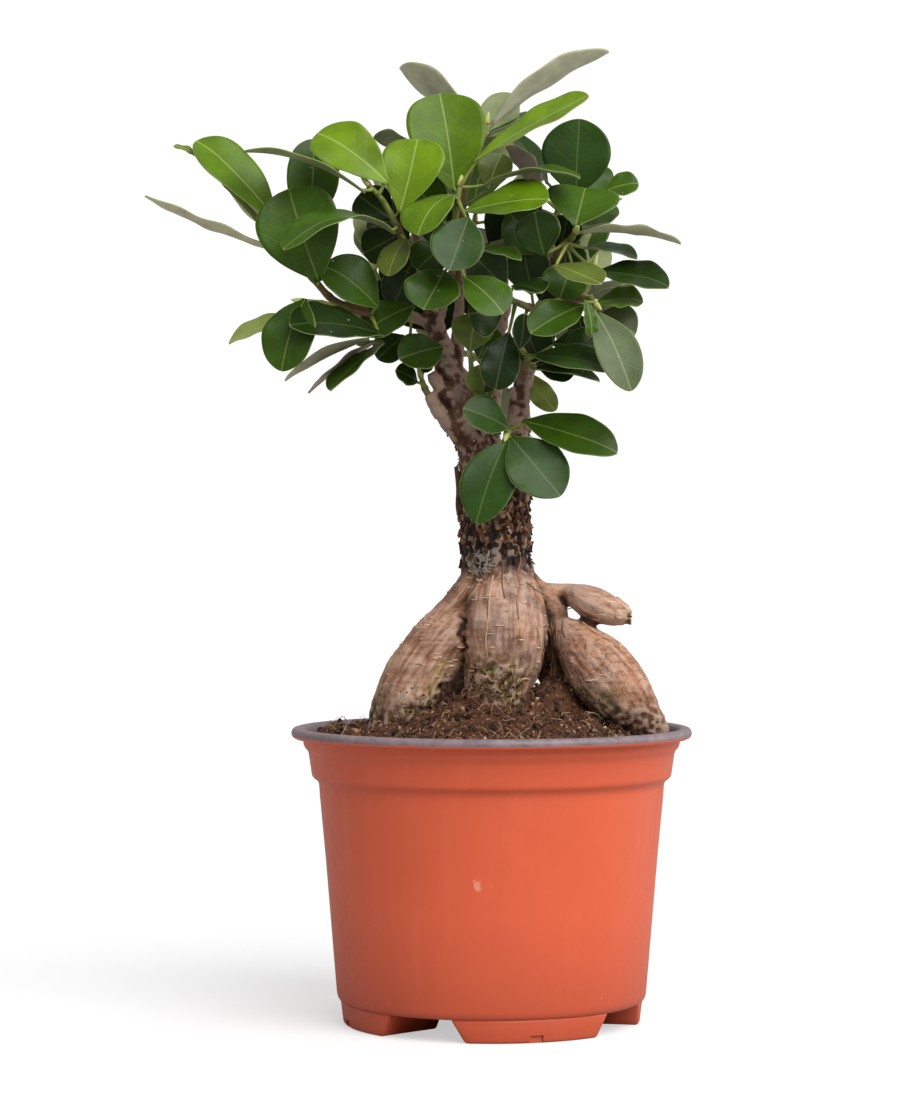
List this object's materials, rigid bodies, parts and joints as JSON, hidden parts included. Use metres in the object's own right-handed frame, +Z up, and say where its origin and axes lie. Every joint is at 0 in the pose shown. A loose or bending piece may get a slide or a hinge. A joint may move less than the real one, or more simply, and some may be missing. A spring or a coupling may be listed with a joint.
{
  "type": "potted bonsai tree",
  "caption": "Small ginseng-type fig bonsai with swollen roots, two limbs and glossy leafy shoots, planted in peat in a thin terracotta-coloured plastic nursery pot",
  "frame": {"origin": "Bottom centre of the whole object's bounding box, at the height of the surface the pot stands on. The pot's own axis is 20.5 mm to the +X side because the crown leans to -X.", "axes": "+Z up along the plant's height, -Y is the front with the three swollen roots side by side, +X is to the right seen from the front."},
  "size_m": [0.162, 0.12, 0.2928],
  "materials": {
    "terracotta_plastic": "thermoformed polypropylene sheet, satin outside, dark grey-purple inner layer showing on the rolled lip",
    "peat_and_coir": null,
    "fig_bark": "living fig bark: smooth pinkish grey-brown skin on the swollen roots, scaly dark bark on the neck",
    "fig_leaf": null
  },
  "bodies": {
    "root": {"pot": "terracotta_plastic", "soil": "peat_and_coir", "roots_and_limbs": "fig_bark", "shoot_top": "fig_leaf", "shoot_upper_front": "fig_leaf", "shoot_upper_left": "fig_leaf", "shoot_left": "fig_leaf", "shoot_left_middle": "fig_leaf", "shoot_left_low": "fig_leaf", "shoot_side_branch": "fig_leaf", "shoot_centre_front": "fig_leaf", "shoot_centre": "fig_leaf", "shoot_inner": "fig_leaf", "shoot_drooping": "fig_leaf", "shoot_right_front": "fig_leaf", "shoot_right_upper": "fig_leaf", "shoot_right_top": "fig_leaf", "shoot_right_low": "fig_leaf", "shoot_back_top": "fig_leaf", "shoot_back_right": "fig_leaf", "shoot_back_left": "fig_leaf", "shoot_back_low": "fig_leaf", "shoot_left_back": "fig_leaf", "shoot_right_back": "fig_leaf", "shoot_right_behind": "fig_leaf", "shoot_middle_back": "fig_leaf", "shoot_left_behind": "fig_leaf"}
  },
  "joints": []
}
